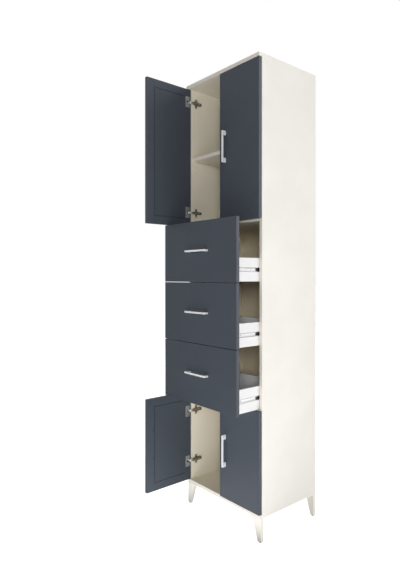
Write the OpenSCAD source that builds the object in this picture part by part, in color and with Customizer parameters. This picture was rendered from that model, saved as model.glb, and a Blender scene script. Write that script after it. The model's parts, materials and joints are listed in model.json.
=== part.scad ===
// Tall storage cabinet: two doors above, three drawers in the middle, two doors below, on four tapered legs.
// Millimetres. +Z is up, -Y is the front, and the origin is on the floor under the middle of the carcass.
// The left doors are drawn open and the drawers pulled out, which is how the cabinet stands at rest.

/* [Carcass] */
// Width over the side panels
cabinet_w = 500; // [400:10:600]
// Depth of the side panels
carcass_d = 350; // [330:10:450]
// Thickness of the carcass boards
board_t = 16; // [15:0.5:19]
// How far the bottom board stands in front of the side panels
bottom_lip = 8; // [4:1:12]
// Thickness of the back panel
back_t = 3; // [2.5:0.5:4]
// Distance from the back panel's rear face to the rear of the cabinet
back_inset = 10; // [8:1:16]
// Depth of the grooves that hold the back panel
back_groove = 7; // [5:0.5:8]

/* [Fronts] */
// Thickness of the doors and drawer fronts
front_t = 16; // [16:0.5:19]
// Gap between a closed front and the side panels
front_air = 2.2; // [2:0.1:2.6]
// Distance from a front's outer edge to the side of the cabinet
side_gap = 1; // [0.5:0.5:1.5]
// Gap between the two doors of a pair
middle_gap = 3; // [2:0.5:5]
// Gap between a front and the one above it
front_gap = 2.5; // [2:0.5:5]
// Gap between a door and the top or bottom board
end_gap = 2; // [1.5:0.5:4]
// Height of the upper doors
upper_door_h = 665.5; // [560:5:800]
// Height of the lower doors
lower_door_h = 426.25; // [380:5:520]
// Height of a drawer front
drawer_front_h = 263.5; // [200:5:300]
// Bevel on the upright edges of the fronts
edge_bevel = 0.6; // [0.5:0.1:0.8]

/* [Legs] */
// Height of the bottom board above the floor
leg_h = 100; // [80:5:160]
// Width of a leg where it meets the bottom board, before the curve
leg_top_w = 51; // [45:1:60]
// Width of a leg at its foot
leg_foot_w = 19.5; // [18:0.5:30]
// Thickness of a leg
leg_t = 16; // [16:1:22]
// Radius of the curve at the top of a leg
leg_curve_r = 25; // [15:1:30]
// Height of the straight rim above that curve
leg_rim = 2; // [1:0.5:4]
// Thickness of the glide under a leg
glide_t = 3; // [2:0.5:5]
// Diameter of a glide
glide_dia = 14; // [12:0.5:16]

/* [Shelf] */
// Height of the top of the adjustable shelf above the floor
shelf_top_z = 1679; // [1600:5:1750]
// Distance from the shelf's front edge to the front of the side panels
shelf_setback = 8; // [5:1:20]
// Gap between the shelf and each side panel
shelf_side_gap = 0.8; // [0.5:0.1:1.5]
// Gap between the shelf and the back panel
shelf_back_gap = 2; // [1:0.5:5]
// Thickness of the shelf
shelf_t = 16; // [15:0.5:19]
// Diameter of the shelf pins and their holes
pin_dia = 5; // [4:0.5:6]
// Depth of the shelf pin holes
pin_depth = 8; // [6:0.5:9]
// Spacing of the shelf pin holes
pin_pitch = 25; // [20:1:32]
// Height of the middle shelf pin hole in the lower compartment
lower_pin_z = 304.5; // [280:5:340]

/* [Hinges] */
// Distance from the front of the side panel to the first line of holes
hole_line = 28; // [28:1:37]
// Distance from the top of an upper door to its upper hinge
upper_hinge_down = 62; // [60:1:90]
// Distance from the bottom of an upper door to its lower hinge
upper_hinge_up = 68; // [60:1:90]
// Distance from the top of a lower door to its upper hinge
lower_hinge_down = 94; // [80:1:110]
// Distance from the bottom of a lower door to its lower hinge
lower_hinge_up = 91; // [70:1:110]
// Distance from a door's hinge edge to the hinge pin
pivot_in = 6.5; // [6.3:0.1:6.6]
// Distance from the front of the side panel forward to the hinge pin
pivot_fwd = 11.5; // [11.5:0.1:11.8]
// Diameter of the hinge cup
cup_dia = 35; // [35:0.5:36]
// Distance from the door's hinge edge to the cup
cup_edge = 3; // [3:0.1:3.4]
// Depth of the hinge cup
cup_depth = 12.5; // [12.3:0.1:13]
// Diameter of the hinge pin
hinge_pin_dia = 2.5; // [2:0.1:2.6]
// Angle of the open left doors
door_rest_angle = 90; // [80:1:95]

/* [Drawers] */
// How far the drawers are pulled out at rest
drawer_rest_out = 125; // [0:5:180]
// Height of the drawer box
box_h = 97; // [90:1:130]
// Length of the drawer box behind its front
box_l = 268; // [260:1:320]
// Thickness of the drawer sides and back
box_t = 12; // [11.5:0.5:15]
// Height of the box above the lower edge of its front
box_lift = 3.5; // [3:0.5:12]
// Gap between a drawer side and the side panel
box_side_gap = 1.6; // [1:0.1:2]
// Thickness of the drawer bottom
box_bottom_t = 3; // [3:0.5:4]
// Height of the drawer bottom above the lower edge of the box
box_bottom_up = 8; // [6:0.5:12]
// Gap between the bottom drawer's box and the divider under it
box_floor_gap = 3; // [1:0.5:6]

/* [Runners] */
// Length of a drawer runner
runner_l = 250; // [200:10:250]
// Height of a drawer runner
runner_h = 17; // [15:0.5:19]
// Thickness of a drawer runner
runner_t = 10; // [9.5:0.1:10.4]
// Wall thickness of the runner's channels
runner_wall = 1; // [0.8:0.1:1.2]
// Clearance between the two runner members
runner_air = 0.3; // [0.3:0.1:0.5]
// Distance from the front of the side panel to the runner
runner_setback = 2; // [1:0.5:5]

/* [Handles] */
// Distance between the two screws of a handle
handle_hole_pitch = 128; // [96:1:160]
// Distance from each end of a handle to its screw
handle_end = 6.5; // [6:0.5:12]
// Length of a handle's foot
handle_foot = 20; // [14:1:24]
// Width of the handle bar
handle_w = 7.5; // [7:0.5:14]
// Thickness of the handle bar
handle_bar_t = 6.5; // [5:0.5:10]
// How far a handle stands off its front
handle_out = 20; // [18:1:40]
// Radius of the handle's outer corners
handle_corner_r = 3; // [2:0.5:5]
// Distance from a door's free edge to its handle
handle_in = 37; // [24:1:50]
// Height of a drawer's handle above the middle of its front
drawer_handle_up = 3; // [0:1:30]

/* [Fixings] */
// Diameter of the wooden dowels
dowel_dia = 8; // [6:0.5:8]
// Depth of a dowel in each of its two boards
dowel_depth = 12; // [10:0.5:13]
// Thickness of the wall brackets
bracket_t = 2; // [1.5:0.1:3]
// Length of each leaf of a wall bracket
bracket_leaf = 30; // [25:1:40]
// Width of a wall bracket
bracket_w = 20; // [16:1:30]
// Diameter of the wall screw's hole
bracket_hole_dia = 6; // [5:0.5:8]
// Distance of each wall bracket from the middle of the cabinet
bracket_off = 160; // [120:5:180]

/* [Hidden] */
$fn = 48;

// Clearance between a fixing and the hole that it sits in
fit = 0.05;
// How far a cut runs past the face that it opens
over = 1;

// Colours
cream = [0.93, 0.92, 0.88];
slate = [0.27, 0.29, 0.32];
box_white = [0.94, 0.94, 0.95];
satin_steel = [0.74, 0.73, 0.71];
nickel = [0.55, 0.53, 0.49];
zinc = [0.66, 0.67, 0.68];
beech = [0.80, 0.66, 0.46];
grey_plastic = [0.35, 0.35, 0.36];

// Widths
half_w = cabinet_w / 2;
inner_x = half_w - board_t;
side_mid_x = half_w - board_t / 2;
door_w = half_w - side_gap - middle_gap / 2;

// Heights, from the floor up
floor_board_z = leg_h + board_t;
lower_door_z = floor_board_z + end_gap;
drawer_z = lower_door_z + lower_door_h + front_gap;
drawer_pitch = drawer_front_h + front_gap;
upper_door_z = drawer_z + 3 * drawer_pitch;
top_board_z = upper_door_z + upper_door_h + end_gap;
cabinet_h = top_board_z + board_t;
lower_divider_z = drawer_z + box_lift - box_floor_gap - board_t;
upper_divider_z = upper_door_z - front_gap / 2 - board_t / 2;
divider_zs = [lower_divider_z, upper_divider_z];

// Depths, from the front of the side panels
front_face = -front_air - front_t;
back_y = carcass_d - back_inset - back_t;

// Shelf pins: a row near the front and one near the back
shelf_z = shelf_top_z - shelf_t;
pin_rows = [hole_line, back_y - shelf_back_gap - hole_line];
pin_z = shelf_z - pin_dia / 2;
pin_zs = concat([for (k = [-2:2]) pin_z + k * pin_pitch], [for (k = [-1:1]) lower_pin_z + k * pin_pitch]);
pin_head_l = 9;
pin_head_w = 8;
pin_web_t = 1.5;

// Glides
glide_nail_dia = 3;
glide_nail_l = 12;

// Fixings
carcass_screw_in = 50;
carcass_screw_ys = [carcass_screw_in, carcass_d - carcass_screw_in];
screw_head_dia = 9.4;
screw_head_t = 3;
screw_neck_dia = 6.8;
screw_thread_dia = 5;
screw_l = 50;
cam_front_in = 60;
cam_rear_in = 70;
cam_ys = [cam_front_in, carcass_d - cam_rear_in];
cam_dia = 15;
cam_t = 12.5;
cam_in = 34;
cam_bolt_dia = 7;
cam_thread_dia = 5;
cam_thread_l = 11;
cam_bite = 3;
dowel_y = carcass_d / 2;
dowel_air = 1;
leg_mid_ys = [leg_t / 2 - bottom_lip, carcass_d - leg_t / 2];
leg_dowel_xs = [12, 36];
leg_dowel_up = board_t - back_groove - 3;
bracket_screw_dia = 4;
bracket_screw_l = 11;
bracket_head_dia = 7;
bracket_head_t = 1.8;
bracket_hole_in = 0.6 * bracket_leaf;
bracket_z = cabinet_h - bracket_t;
bracket_seat_air = 0.3;

// Hinges. The pin's place is measured from the inner face of the side panel
pivot_h = side_gap + pivot_in - board_t;
cup_r = cup_dia / 2;
cup_mid = cup_edge + cup_r;
pivot_depth = pivot_fwd - front_air;
upper_hinge_hs = [upper_door_h - upper_hinge_down, upper_hinge_up];
lower_hinge_hs = [lower_door_h - lower_hinge_down, lower_hinge_up];
hinge_zs = concat([for (h = upper_hinge_hs) upper_door_z + h], [for (h = lower_hinge_hs) lower_door_z + h]);
hinge_pin_r = hinge_pin_dia / 2;
hinge_pin_l = 17;
eye_wall = 0.85;
eye_r = hinge_pin_r + eye_wall;
eye_w = 6.4;
eye_side_air = 0.4;
strap_t = 2;
strap_w = 11;
riser_off = 11.8;
riser_h = pivot_h + riser_off;
riser_top_y = -1;
arm_front_y = 7;
arm_behind = 26.5;
arm_l = hole_line + arm_behind;
arm_wall = 1.2;
plate_t = 1.5;
plate_w = 14;
plate_ahead = 19;
plate_front_y = hole_line - plate_ahead;
saddle_w = 8.4;
saddle_h = 8.5;
saddle_ahead = 14;
saddle_behind = 22;
saddle_front_y = hole_line - saddle_ahead;
saddle_end_y = hole_line + saddle_behind;
wing_span = 42;
wing_w = 12;
wing_hole_pitch = 32;
plate_screw_dia = 5;
plate_screw_l = 11;
plate_head_dia = 7.6;
plate_head_t = 1.6;
arm_screw_ahead = 7;
arm_screw_behind = 10;
arm_screw_ys = [hole_line - arm_screw_ahead, hole_line + arm_screw_behind];
arm_screw_dia = 4.4;
arm_screw_l = 6;
arm_head_dia = 7;
arm_head_t = 1.5;
flange_t = 1;
flange_l = 52;
flange_w = 24;
flange_in = 19;
flange_corner = 2;
flange_screw_in = 26.5;
flange_hole_pitch = 43;
flange_screw_dia = 3.5;
flange_screw_l = 11;
flange_head_dia = 6.6;
flange_head_t = 1.2;
pocket_w = 13;
pocket_lip_wall = 0.8;
pocket_far_wall = 14;
pocket_step = 2.5;
cup_floor_t = 0.8;

// Handles
handle_l = handle_hole_pitch + 2 * handle_end;
drawer_handle_z = drawer_front_h / 2 + drawer_handle_up;
handle_screw_dia = 4;
handle_screw_bite = 12;
handle_screw_head_dia = 8;
handle_screw_head_t = 2.4;
handle_hole_air = 0.5;

// Drawers
box_outer_x = inner_x - box_side_gap;
box_inner_x = box_outer_x - box_t;
runner_up = box_h / 2;
runner_groove_air = 0.3;
runner_floor_air = 0.6;
runner_groove_d = runner_t - box_side_gap + runner_floor_air;
runner_groove_h = runner_h + 2 * runner_groove_air;
runner_screw_pitch = 160;
runner_screw_ys = [hole_line, hole_line + runner_screw_pitch];
runner_screw_dia = 3.5;
runner_screw_l = 11;
runner_head_dia = 6;
runner_head_t = 1;
runner_inner_x = box_outer_x - runner_groove_d;
runner_member_t = runner_t - runner_wall + runner_floor_air - runner_head_t - 2 * runner_air;
runner_member_h = runner_h - 2 * runner_wall - 2 * runner_air;
box_bottom_groove = 5;
box_cam_dia = 12;
box_cam_t = 9;
box_cam_in = 24;
box_cam_zs = [23, 76];
box_bolt_dia = 5;
box_bolt_bite = 10;
box_pin_dia = 6;
box_pin_l = 24;

// Drawn from the front of the side panels, then stood with the middle of the carcass over the origin
module stand() {
    translate([0, -carcass_d / 2, 0]) children();
}

module slab(low, high) {
    translate(low) cube(high - low);
}

module peg_x(at, dia, l) {
    translate(at) rotate([0, 90, 0]) cylinder(d = dia, h = l);
}

module peg_y(at, dia, l) {
    translate(at) rotate([-90, 0, 0]) cylinder(d = dia, h = l);
}

module peg_z(at, dia, l) {
    translate(at) cylinder(d = dia, h = l);
}

module both_sides() {
    children();
    mirror([1, 0, 0]) children();
}

// Carcass screw, drawn with its head's top at the origin and pointing down
module carcass_screw(air = 0) {
    translate([0, 0, -screw_head_t - air]) cylinder(d = screw_head_dia + 2 * air, h = screw_head_t + air);
    translate([0, 0, -board_t]) cylinder(d = screw_neck_dia + 2 * air, h = board_t - screw_head_t);
    translate([0, 0, -screw_l - air]) cylinder(d = screw_thread_dia + 2 * air, h = screw_l - board_t + air);
}

// The four screws through the top board and the four through the bottom board
module all_carcass_screws(air = 0) {
    both_sides() for (y = carcass_screw_ys) {
        translate([-side_mid_x, y, cabinet_h]) carcass_screw(air);
        translate([-side_mid_x, y, leg_h]) mirror([0, 0, 1]) carcass_screw(air);
    }
}

// Dowels: top and bottom boards to the sides, dividers to the sides, and legs to the bottom board
module all_dowels(air = 0, gap = 0) {
    dia = dowel_dia + 2 * air;
    half_l = dowel_depth + gap;
    both_sides() {
        for (z = [floor_board_z, top_board_z])
            peg_z([-side_mid_x, dowel_y, z - half_l], dia, 2 * half_l);
        for (z = divider_zs)
            peg_x([-inner_x - half_l, dowel_y, z + board_t / 2], dia, 2 * half_l);
        for (y = leg_mid_ys, x = leg_dowel_xs)
            peg_z([-half_w + x, y, leg_h - half_l], dia, half_l + leg_dowel_up + gap);
    }
}

// Cam and bolt of one divider end, drawn at the left side panel
module cam_set(y, z, air = 0) {
    cam_x = -inner_x + cam_in;
    difference() {
        peg_z([cam_x, y, z - air], cam_dia + 2 * air, cam_t + 2 * air);
        if (air == 0)
            peg_x([cam_x - cam_dia / 2 - over, y, z + board_t / 2], cam_bolt_dia + 2 * fit, cam_bite + over);
    }
    peg_x([-inner_x, y, z + board_t / 2], cam_bolt_dia + 2 * air, cam_in - cam_dia / 2 + cam_bite);
    peg_x([-inner_x - cam_thread_l - air, y, z + board_t / 2], cam_thread_dia + 2 * air, cam_thread_l + air);
}

module all_cam_sets(air = 0) {
    both_sides() for (z = divider_zs, y = cam_ys) cam_set(y, z, air);
}

// The back panel, or with air the room for it in the boards around it
module back_sheet(air = 0) {
    slab(
        [-inner_x - back_groove - air, back_y - air, floor_board_z - back_groove - air],
        [inner_x + back_groove + air, back_y + back_t + air, top_board_z + back_groove + air]
    );
}

module top_board() {
    color(cream) stand() difference() {
        slab([-half_w, front_face, top_board_z], [half_w, carcass_d, cabinet_h]);
        all_carcass_screws(fit);
        all_dowels(fit, dowel_air);
        back_sheet(fit);
        both_sides() {
            bracket_foot(bracket_seat_air);
            bracket_screw(fit);
        }
    }
}

module bottom_board() {
    color(cream) stand() difference() {
        slab([-half_w, -bottom_lip, leg_h], [half_w, carcass_d, floor_board_z]);
        all_carcass_screws(fit);
        all_dowels(fit, dowel_air);
        back_sheet(fit);
    }
}

// Drawn as the left panel
module side_panel() {
    stand() difference() {
        slab([-half_w, 0, floor_board_z], [-inner_x, carcass_d, top_board_z]);
        all_carcass_screws(fit);
        all_dowels(fit, dowel_air);
        all_cam_sets(fit);
        back_sheet(fit);
        for (y = pin_rows, z = pin_zs)
            peg_x([-inner_x - pin_depth, y, z], pin_dia, pin_depth + over);
        for (z = hinge_zs) at_left_hinge(z) plate_screws(fit);
        for (k = [0:2]) cabinet_runner_screws(runner_z(k), fit);
    }
}

module left_side_panel() {
    color(cream) side_panel();
}

module right_side_panel() {
    color(cream) mirror([1, 0, 0]) side_panel();
}

module divider(z) {
    color(cream) stand() difference() {
        slab([-inner_x, 0, z], [inner_x, back_y - fit, z + board_t]);
        all_dowels(fit, dowel_air);
        all_cam_sets(fit);
    }
}

module upper_divider() {
    divider(upper_divider_z);
}

module lower_divider() {
    divider(lower_divider_z);
}

module back_panel() {
    color(cream) stand() back_sheet();
}

module adjustable_shelf() {
    shelf_x = inner_x - shelf_side_gap;
    color(cream) stand()
        slab([-shelf_x, shelf_setback, shelf_z], [shelf_x, back_y - shelf_back_gap, shelf_top_z]);
}

// A shelf pin is a peg with a small bracket, whose top face carries the shelf
module shelf_pin(y) {
    peg_x([-inner_x - pin_depth, y, pin_z], pin_dia - 2 * fit, pin_depth);
    slab([-inner_x, y - pin_head_w / 2, pin_z - pin_head_l], [-inner_x + pin_web_t, y + pin_head_w / 2, shelf_z]);
    slab([-inner_x, y - pin_head_w / 2, shelf_z - pin_web_t], [-inner_x + pin_head_l, y + pin_head_w / 2, shelf_z]);
    translate([-inner_x, y + pin_web_t / 2, 0]) rotate([90, 0, 0]) linear_extrude(pin_web_t)
        polygon([[0, pin_z - pin_head_l], [pin_head_l, shelf_z], [0, shelf_z]]);
}

module shelf_pins() {
    color(cream) stand() both_sides() for (y = pin_rows) shelf_pin(y);
}

// Outline of a leg seen from the front, from its outer side inwards and from the bottom board down
module leg_outline() {
    l = leg_h - glide_t;
    lean = atan((leg_top_w - leg_foot_w) / l);
    mid_z = -leg_rim - leg_curve_r;
    down = -mid_z - leg_curve_r * sin(lean);
    mid_x = leg_top_w - down * tan(lean) + leg_curve_r * cos(lean);
    polygon(concat(
        [[0, 0], [mid_x, 0]],
        [for (k = [0:8]) let (a = 90 + k * (90 - lean) / 8) [mid_x + leg_curve_r * cos(a), mid_z + leg_curve_r * sin(a)]],
        [[leg_foot_w, -l], [0, -l]]
    ));
}

// Drawn as the left leg, with the middle of its thickness at mid_y
module leg(mid_y) {
    stand() difference() {
        translate([-half_w, mid_y + leg_t / 2, leg_h]) rotate([90, 0, 0]) linear_extrude(leg_t) leg_outline();
        all_dowels(fit, dowel_air);
        glide(mid_y, fit);
    }
}

module front_left_leg() {
    color(cream) leg(leg_mid_ys[0]);
}

module front_right_leg() {
    color(cream) mirror([1, 0, 0]) leg(leg_mid_ys[0]);
}

module rear_left_leg() {
    color(cream) leg(leg_mid_ys[1]);
}

module rear_right_leg() {
    color(cream) mirror([1, 0, 0]) leg(leg_mid_ys[1]);
}

// A nailed glide under the left leg
module glide(mid_y, air = 0) {
    glide_x = -half_w + leg_foot_w / 2;
    if (air == 0) peg_z([glide_x, mid_y, 0], glide_dia, glide_t);
    peg_z([glide_x, mid_y, glide_t], glide_nail_dia + 2 * air, glide_nail_l + air);
}

module leg_glides() {
    color(grey_plastic) stand() both_sides() for (y = leg_mid_ys) glide(y);
}

// Cabinet member screws of the runner at height z, drawn at the left side panel
module cabinet_runner_screws(z, air = 0) {
    for (y = runner_screw_ys) {
        peg_x([-inner_x - runner_screw_l - air, y, z], runner_screw_dia + 2 * air, runner_screw_l + runner_wall + air);
        if (air == 0) peg_x([-inner_x + runner_wall, y, z], runner_head_dia, runner_head_t);
    }
}

module bracket_screw(air = 0) {
    at = [-bracket_off, carcass_d - bracket_hole_in, bracket_z - bracket_screw_l - air];
    peg_z(at, bracket_screw_dia + 2 * air, bracket_screw_l + bracket_t + 2 * air);
    if (air == 0) peg_z([at.x, at.y, bracket_z + bracket_t], bracket_head_dia, bracket_head_t);
}

// The leaf of a wall bracket that lies flush in the top board, or with air the seat that is cut for it
module bracket_foot(air = 0) {
    side = bracket_w / 2 + air;
    slab([-bracket_off - side, carcass_d - bracket_leaf - air, bracket_z], [side - bracket_off, carcass_d + air, cabinet_h + air]);
}

module carcass_screws() {
    color(zinc) stand() {
        all_carcass_screws();
        both_sides() {
            bracket_screw();
            for (k = [0:2]) cabinet_runner_screws(runner_z(k));
        }
    }
}

module cam_fittings() {
    color(zinc) stand() all_cam_sets();
}

module wood_dowels() {
    color(beech) stand() all_dowels();
}

// An angle on the top board, with a hole for a wall screw in its upright leaf
module wall_bracket() {
    x = -bracket_off;
    difference() {
        union() {
            bracket_foot();
            slab([x - bracket_w / 2, carcass_d - bracket_t, bracket_z], [x + bracket_w / 2, carcass_d, bracket_z + bracket_leaf]);
        }
        bracket_screw(fit);
        peg_y([x, carcass_d - bracket_t - over, bracket_z + bracket_hole_in], bracket_hole_dia, bracket_t + 2 * over);
    }
}

module wall_brackets() {
    color(zinc) stand() both_sides() wall_bracket();
}

// Places a left hinge with its origin on the side panel's inner face, at the front of the panel
module at_left_hinge(z) {
    translate([-inner_x, 0, z]) children();
}

module all_hinges() {
    stand() both_sides() for (z = hinge_zs) at_left_hinge(z) children();
}

module plate_screws(air = 0) {
    for (s = [-1, 1]) {
        z = s * wing_hole_pitch / 2;
        peg_x([-plate_screw_l - air, hole_line, z], plate_screw_dia + 2 * air, plate_screw_l + plate_t + air);
        if (air == 0) peg_x([plate_t, hole_line, z], plate_head_dia, plate_head_t);
    }
}

module arm_screws(air = 0) {
    top = saddle_h + strap_t;
    for (y = arm_screw_ys) {
        peg_x([top - arm_screw_l - air, y, 0], arm_screw_dia + 2 * air, arm_screw_l + 2 * air);
        if (air == 0) peg_x([top, y, 0], arm_head_dia, arm_head_t);
    }
}

// Cross-shaped mounting plate with a raised saddle for the arm
module hinge_plate() {
    difference() {
        union() {
            slab([0, plate_front_y, -plate_w / 2], [plate_t, arm_l, plate_w / 2]);
            slab([0, hole_line - wing_w / 2, -wing_span / 2], [plate_t, hole_line + wing_w / 2, wing_span / 2]);
            slab([0, saddle_front_y, -saddle_w / 2], [saddle_h, saddle_end_y, saddle_w / 2]);
        }
        plate_screws(fit);
        arm_screws(fit);
    }
}

module hinge_plates() {
    color(nickel) all_hinges() hinge_plate();
}

// Cranked arm: an eye round the pin, a neck, a riser out of the cup and a channel over the plate
module hinge_arm() {
    neck_y = -pivot_fwd - strap_t / 2;
    out = riser_h + strap_t;
    web = saddle_h + strap_t;
    difference() {
        union() {
            translate([pivot_h, -pivot_fwd, -eye_w / 2]) cylinder(r = eye_r, h = eye_w);
            slab([pivot_h, neck_y, -eye_w / 2], [out, neck_y + strap_t, eye_w / 2]);
            slab([riser_h, neck_y, -strap_w / 2], [out, neck_y + strap_t, strap_w / 2]);
            translate([0, 0, -strap_w / 2]) linear_extrude(strap_w) polygon([
                [riser_h, neck_y + strap_t], [out, neck_y + strap_t], [out, riser_top_y], [web, arm_front_y],
                [web, arm_l], [saddle_h, arm_l], [saddle_h, arm_front_y + strap_t / 2], [riser_h, riser_top_y + strap_t / 2]
            ]);
            for (s = [0, 1]) mirror([0, 0, s])
                slab([plate_t + strap_t, plate_front_y, strap_w / 2 - arm_wall], [saddle_h, arm_l, strap_w / 2]);
        }
        translate([pivot_h, -pivot_fwd, -eye_w]) cylinder(r = hinge_pin_r, h = 2 * eye_w);
        arm_screws(fit);
    }
}

module hinge_arms() {
    color(nickel) all_hinges() hinge_arm();
}

module hinge_pins() {
    color(zinc) all_hinges() translate([pivot_h, -pivot_fwd, -hinge_pin_l / 2]) cylinder(r = hinge_pin_r, h = hinge_pin_l);
}

module hinge_screws() {
    color(zinc) all_hinges() {
        plate_screws();
        arm_screws();
    }
}

// Height of the middle of the runner of drawer k, counted from the lowest
function runner_z(k) = drawer_z + k * drawer_pitch + box_lift + runner_up;

// Cabinet member of a runner: a channel on the left side panel that opens towards the drawer
module cabinet_runner(z) {
    low_z = z - runner_h / 2;
    difference() {
        slab([-inner_x, runner_setback, low_z], [-inner_x + runner_t, runner_setback + runner_l, low_z + runner_h]);
        slab(
            [-inner_x + runner_wall, runner_setback - over, low_z + runner_wall],
            [-inner_x + runner_t + over, runner_setback + runner_l + over, low_z + runner_h - runner_wall]
        );
        cabinet_runner_screws(z, fit);
    }
}

module cabinet_runners() {
    color(zinc) stand() both_sides() for (k = [0:2]) cabinet_runner(runner_z(k));
}

// Doors are drawn closed on the left, with their lower edge at z = 0, then turned about the hinge pin
module hang_left(angle, z) {
    stand() translate([-half_w + side_gap + pivot_in, -pivot_fwd, z]) rotate([0, 0, -angle])
        translate([half_w - side_gap - pivot_in, pivot_fwd, 0]) children();
}

module hang_right(z) {
    mirror([1, 0, 0]) hang_left(0, z) children();
}

// Upright board with bevelled upright edges, from x = 0 to w, its back face at y = 0 and its front at -front_t
module front_board(w, h) {
    b = edge_bevel;
    linear_extrude(h) polygon([
        [b, 0], [w - b, 0], [w, -b], [w, b - front_t], [w - b, -front_t], [b, -front_t], [0, b - front_t], [0, -b]
    ]);
}

// Handle standing on the plane y = 0 and pointing to -y, with its length along z
module handle() {
    r = handle_corner_r;
    inner_l = handle_l - 2 * handle_foot;
    inner_out = handle_out - handle_bar_t;
    inner_r = min(r, inner_out / 2);
    difference() {
        translate([-handle_w / 2, 0, 0]) rotate([0, 90, 0]) linear_extrude(handle_w) difference() {
            union() {
                translate([-handle_l / 2 + r, -handle_out]) square([handle_l - 2 * r, handle_out]);
                translate([-handle_l / 2, -handle_out + r]) square([handle_l, handle_out - r]);
                for (s = [-1, 1]) translate([s * (handle_l / 2 - r), -handle_out + r]) circle(r = r);
            }
            translate([-inner_l / 2 + inner_r, -inner_out]) square([inner_l - 2 * inner_r, inner_out + over]);
            translate([-inner_l / 2, -inner_out + inner_r]) square([inner_l, inner_out - inner_r + over]);
            for (s = [-1, 1]) translate([s * (inner_l / 2 - inner_r), -inner_out + inner_r]) circle(r = inner_r);
        }
        for (s = [-1, 1])
            peg_y([0, -handle_screw_bite - over, s * handle_hole_pitch / 2], handle_screw_dia, handle_screw_bite + 2 * over);
    }
}

// The two screws of a handle on the plane y = 0, put in from behind a front of thickness front_t
module handle_screws() {
    for (s = [-1, 1]) {
        z = s * handle_hole_pitch / 2;
        peg_y([0, -handle_screw_bite, z], handle_screw_dia - 2 * fit, handle_screw_bite + front_t);
        peg_y([0, front_t, z], handle_screw_head_dia, handle_screw_head_t);
    }
}

module handle_screw_holes() {
    for (s = [-1, 1])
        peg_y([0, -over, s * handle_hole_pitch / 2], handle_screw_dia + handle_hole_air, front_t + 2 * over);
}

// Cup in the door, drawn with the door's hinge edge at x = 0 and its inner face at y = 0
module hinge_cup() {
    pivot_y = -pivot_depth;
    far_x = cup_mid + cup_r - pocket_far_wall;
    floor_y = -cup_depth + cup_floor_t;
    lip_w = eye_w + 2 * eye_side_air;
    difference() {
        union() {
            peg_y([cup_mid, -cup_depth, 0], cup_dia - 2 * fit, cup_depth);
            translate([flange_in, 0, 0]) rotate([-90, 0, 0]) linear_extrude(flange_t) flange_outline();
        }
        slab([cup_edge + pocket_lip_wall, floor_y, -lip_w / 2], [pivot_in + pocket_step + over, flange_t + over, lip_w / 2]);
        slab([pivot_in + pocket_step, floor_y, -pocket_w / 2], [far_x, flange_t + over, pocket_w / 2]);
        translate([pivot_in, pivot_y, -hinge_pin_l / 2 - fit]) cylinder(r = hinge_pin_r + fit, h = hinge_pin_l + 2 * fit);
        cup_screws(fit);
    }
}

module flange_outline() {
    r = flange_corner;
    square([flange_w, flange_l - 2 * r], center = true);
    square([flange_w - 2 * r, flange_l], center = true);
    for (sx = [-1, 1], sy = [-1, 1])
        translate([sx * (flange_w / 2 - r), sy * (flange_l / 2 - r)]) circle(r = r);
}

module cup_screws(air = 0) {
    for (s = [-1, 1]) {
        at = [flange_screw_in, -flange_screw_l - air, s * flange_hole_pitch / 2];
        peg_y(at, flange_screw_dia + 2 * air, flange_screw_l + flange_t + 2 * air);
        if (air == 0) peg_y([at.x, flange_t, at.z], flange_head_dia, flange_head_t);
    }
}

// Places things drawn from a closed left door's hinge edge and inner face
module on_left_door() {
    translate([-half_w + side_gap, -front_air, 0]) children();
}

module door(h, hinges) {
    on_left_door() difference() {
        front_board(door_w, h);
        for (z = hinges) translate([0, 0, z]) {
            peg_y([cup_mid, -cup_depth, 0], cup_dia, cup_depth + over);
            cup_screws(fit);
        }
        translate([door_w - handle_in, -front_t, h / 2]) handle_screw_holes();
    }
}

module door_handle(h) {
    on_left_door() translate([door_w - handle_in, -front_t, h / 2]) handle();
}

module door_cups(hinges) {
    on_left_door() for (z = hinges) translate([0, 0, z]) hinge_cup();
}

module door_screws(h, hinges) {
    on_left_door() {
        translate([door_w - handle_in, -front_t, h / 2]) handle_screws();
        for (z = hinges) translate([0, 0, z]) cup_screws();
    }
}

module upper_left_door() {
    color(slate) hang_left(door_rest_angle, upper_door_z) door(upper_door_h, upper_hinge_hs);
}

module upper_left_handle() {
    color(satin_steel) hang_left(door_rest_angle, upper_door_z) door_handle(upper_door_h);
}

module upper_left_cups() {
    color(nickel) hang_left(door_rest_angle, upper_door_z) door_cups(upper_hinge_hs);
}

module upper_left_screws() {
    color(zinc) hang_left(door_rest_angle, upper_door_z) door_screws(upper_door_h, upper_hinge_hs);
}

module upper_right_door() {
    color(slate) hang_right(upper_door_z) door(upper_door_h, upper_hinge_hs);
}

module upper_right_handle() {
    color(satin_steel) hang_right(upper_door_z) door_handle(upper_door_h);
}

module upper_right_cups() {
    color(nickel) hang_right(upper_door_z) door_cups(upper_hinge_hs);
}

module upper_right_screws() {
    color(zinc) hang_right(upper_door_z) door_screws(upper_door_h, upper_hinge_hs);
}

module lower_left_door() {
    color(slate) hang_left(door_rest_angle, lower_door_z) door(lower_door_h, lower_hinge_hs);
}

module lower_left_handle() {
    color(satin_steel) hang_left(door_rest_angle, lower_door_z) door_handle(lower_door_h);
}

module lower_left_cups() {
    color(nickel) hang_left(door_rest_angle, lower_door_z) door_cups(lower_hinge_hs);
}

module lower_left_screws() {
    color(zinc) hang_left(door_rest_angle, lower_door_z) door_screws(lower_door_h, lower_hinge_hs);
}

module lower_right_door() {
    color(slate) hang_right(lower_door_z) door(lower_door_h, lower_hinge_hs);
}

module lower_right_handle() {
    color(satin_steel) hang_right(lower_door_z) door_handle(lower_door_h);
}

module lower_right_cups() {
    color(nickel) hang_right(lower_door_z) door_cups(lower_hinge_hs);
}

module lower_right_screws() {
    color(zinc) hang_right(lower_door_z) door_screws(lower_door_h, lower_hinge_hs);
}

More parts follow.
